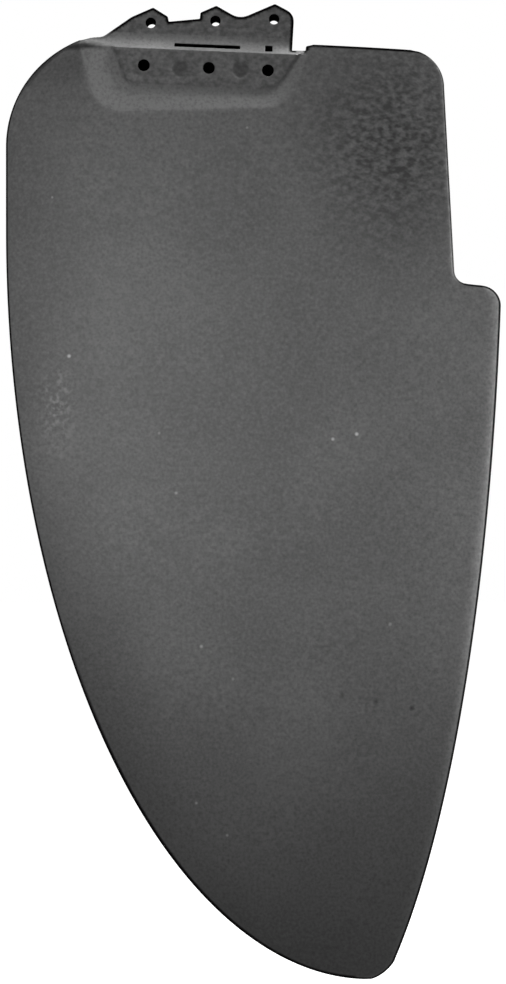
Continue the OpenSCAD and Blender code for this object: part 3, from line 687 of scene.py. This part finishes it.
# Among the layers, the multiply, the edge black and the bore black are painted shade, and the lighter grey
# over the bevel is a painted highlight.
layers = (
    ("MIX", FACE_GREY, seen["bolting_face"]), ("MIX", SCOOP_AND_BEVEL_LIGHT_GREY, seen["hollow"]),
    ("MIX", PIT_GREY, pits), ("MIX", TIP_GREY, tips), ("MULTIPLY", SHADE_GREY, seen["painted_shade"]),
    ("MIX", SPOT_GREY, spots), ("MIX", SCUFF_GREY, dabs), ("MIX", STAIN_GREY, stain),
    ("MIX", DUST_GREY, dust), ("MIX", EDGE_SHADE_BLACK, seen["painted_edge_shade"]), ("MIX", BORE_SHADE_BLACK, seen["bore"]))
for blend, code, amount in layers:
    tone = node(tree, "ShaderNodeMixRGB", {"blend_type": blend, "Color2": linear(code)},
                {"Fac": amount, "Color1": tone})[0]
gloss = node(tree, "ShaderNodeMapRange", {"To Min": 0.44, "To Max": 0.56}, {"Value": grain})[0]
for name in ("painted_edge_shade", "bore"):
    gloss = node(tree, "ShaderNodeMath", {"operation": "MAXIMUM"}, {0: gloss, 1: seen[name]})[0]
dents = node(tree, "ShaderNodeBump", {"Strength": 0.25, "Distance": 0.0002}, {"Height": grain})[0]
dents = node(tree, "ShaderNodeBump", {"Strength": 0.5, "Distance": 0.0003, "invert": True},
             {"Height": spots, "Normal": dents})[0]
shader = tree.nodes["Principled BSDF"]
tree.links.new(tone, shader.inputs["Base Color"])
tree.links.new(gloss, shader.inputs["Roughness"])
tree.links.new(dents, shader.inputs["Normal"])
shader.inputs["IOR"].default_value = 1.53
shader.inputs["Specular IOR Level"].default_value = 0.1
blade_mesh.materials.append(nylon)

# Along the edges and in the holes, where shade is painted dark, the same nylon has no shine at all.
edge_shade_nylon = nylon.copy()
edge_shade_nylon.name = "nylon_with_painted_edge_shade"
edge_shade_nylon.node_tree.nodes["Principled BSDF"].inputs["Specular IOR Level"].default_value = 0.0
blade_mesh.materials.append(edge_shade_nylon)
dull = ((finish_and_painted_shading["painted_edge_shade"] > DULL_FROM) | (finish_and_painted_shading["bore"] > 0))[tris].any(1)
which = np.concatenate([dull, dull, np.ones(len(walls))]).astype(np.int32)
blade_mesh.polygons.foreach_set("material_index", which)


# The studio, in metres: a plain pale paper floor below the hanging blade, and a white world that fills in
# softly. Away from the blade the floor pales to the world's white, and near it the blade's shadow shows.
FLOOR_Z, FLOOR_REACH, PALE_FROM, PALE_TO, PALE_NEAR, WORLD_FILL = -0.62, 4, 0.1, 0.28, 0.3, 0.05
PAPER, WHITE = "#e0e0e0", "#ffffff"


def seen_background(tree):
    """1 for rays from the camera, off gloss or through glass, which see the background as white, and 0 for
    the rest: the greatest of the three kinds of ray."""
    path = node(tree, "ShaderNodeLightPath")
    direct = node(tree, "ShaderNodeMath", {"operation": "MAXIMUM"},
                  {0: path["Is Camera Ray"], 1: path["Is Glossy Ray"]})[0]
    return node(tree, "ShaderNodeMath", {"operation": "MAXIMUM"},
                {0: direct, 1: path["Is Transmission Ray"]})[0]


floor_mesh = bpy.data.meshes.new("floor")
floor_signs = ((-1, -1), (1, -1), (1, 1), (-1, 1))
floor_corners = [(FLOOR_REACH * x, FLOOR_REACH * y, FLOOR_Z) for x, y in floor_signs]
floor_mesh.from_pydata(floor_corners, [], [(0, 1, 2, 3)])
floor = bpy.data.objects.new("floor", floor_mesh)
bpy.context.scene.collection.objects.link(floor)
paper = bpy.data.materials.new("pale_floor_paper")
paper.use_nodes = True
tree = paper.node_tree
tree.nodes.remove(tree.nodes["Principled BSDF"])
away = node(tree, "ShaderNodeVectorMath", {"operation": "DISTANCE", 1: (0, 0, FLOOR_Z)},
            {0: node(tree, "ShaderNodeTexCoord")["Object"]})["Value"]
pale = node(tree, "ShaderNodeMapRange", {"From Min": PALE_FROM, "From Max": PALE_TO, "To Min": PALE_NEAR},
            {"Value": away})[0]
glow = node(tree, "ShaderNodeMath", {"operation": "MULTIPLY"}, {0: pale, 1: seen_background(tree)})[0]
matt = node(tree, "ShaderNodeBsdfDiffuse", {"Color": linear(PAPER)})[0]
white = node(tree, "ShaderNodeEmission", {"Color": linear(WHITE)}, {"Strength": glow})[0]
both = node(tree, "ShaderNodeAddShader", {}, {0: matt, 1: white})[0]
tree.links.new(both, tree.nodes["Material Output"].inputs["Surface"])
floor_mesh.materials.append(paper)

world = bpy.data.worlds.new("studio")
bpy.context.scene.world = world
world.use_nodes = True
tree = world.node_tree
strength = node(tree, "ShaderNodeMapRange", {"To Min": WORLD_FILL, "To Max": 1.0},
                {"Value": seen_background(tree)})[0]
tree.links.new(strength, tree.nodes["Background"].inputs["Strength"])
tree.nodes["Background"].inputs["Color"].default_value = linear(WHITE)


# The lamps and the camera: soft boxes in front, above, aft and behind, three of them with a grid.
# The camera stands square to the seen side, as the photograph's did.
SENSOR, LENS, CAMERA_PLACE = 36, 51.22, (0.02505, -0.805, -0.24043)


def lamp(name, place, target, size, power, spread=180):
    """A square soft box at a place, turned so that it faces a target. A grid on it narrows its spread, in
    degrees."""
    data = bpy.data.lights.new(name, "AREA")
    data.size, data.energy, data.spread = size, power, math.radians(spread)
    made_lamp = bpy.data.objects.new(name, data)
    made_lamp.location = place
    made_lamp.rotation_euler = (Vector(target) - Vector(place)).to_track_quat("-Z", "Y").to_euler()
    made_lamp.visible_camera = False
    bpy.context.scene.collection.objects.link(made_lamp)


lamp("front", (-0.155, -0.45, -0.18), (-0.05, 0, -0.19), 0.3, 0.51, 90)
lamp("top", (-0.12, -0.2, 0.55), (0.0, 0, 0.0), 0.3, 1.4)
lamp("top_aft", (0.3, 0.02, 0.45), (0.05, 0, 0.0), 0.2, 9.2)
lamp("aft", (0.75, -0.01, -0.26), (0.12, 0, -0.24), 0.3, 1.25, 45)
lamp("back", (0.02, 0.5, -0.12), (0.02, 0, -0.2), 0.4, 0.8, 120)
camera_data = bpy.data.cameras.new("camera")
camera_data.sensor_width, camera_data.lens = SENSOR, LENS
camera = bpy.data.objects.new("camera", camera_data)
camera.location = CAMERA_PLACE
camera.rotation_euler = (math.pi / 2, 0, 0)
bpy.context.scene.collection.objects.link(camera)
bpy.context.scene.camera = camera
bpy.context.scene.view_settings.view_transform = "Standard"
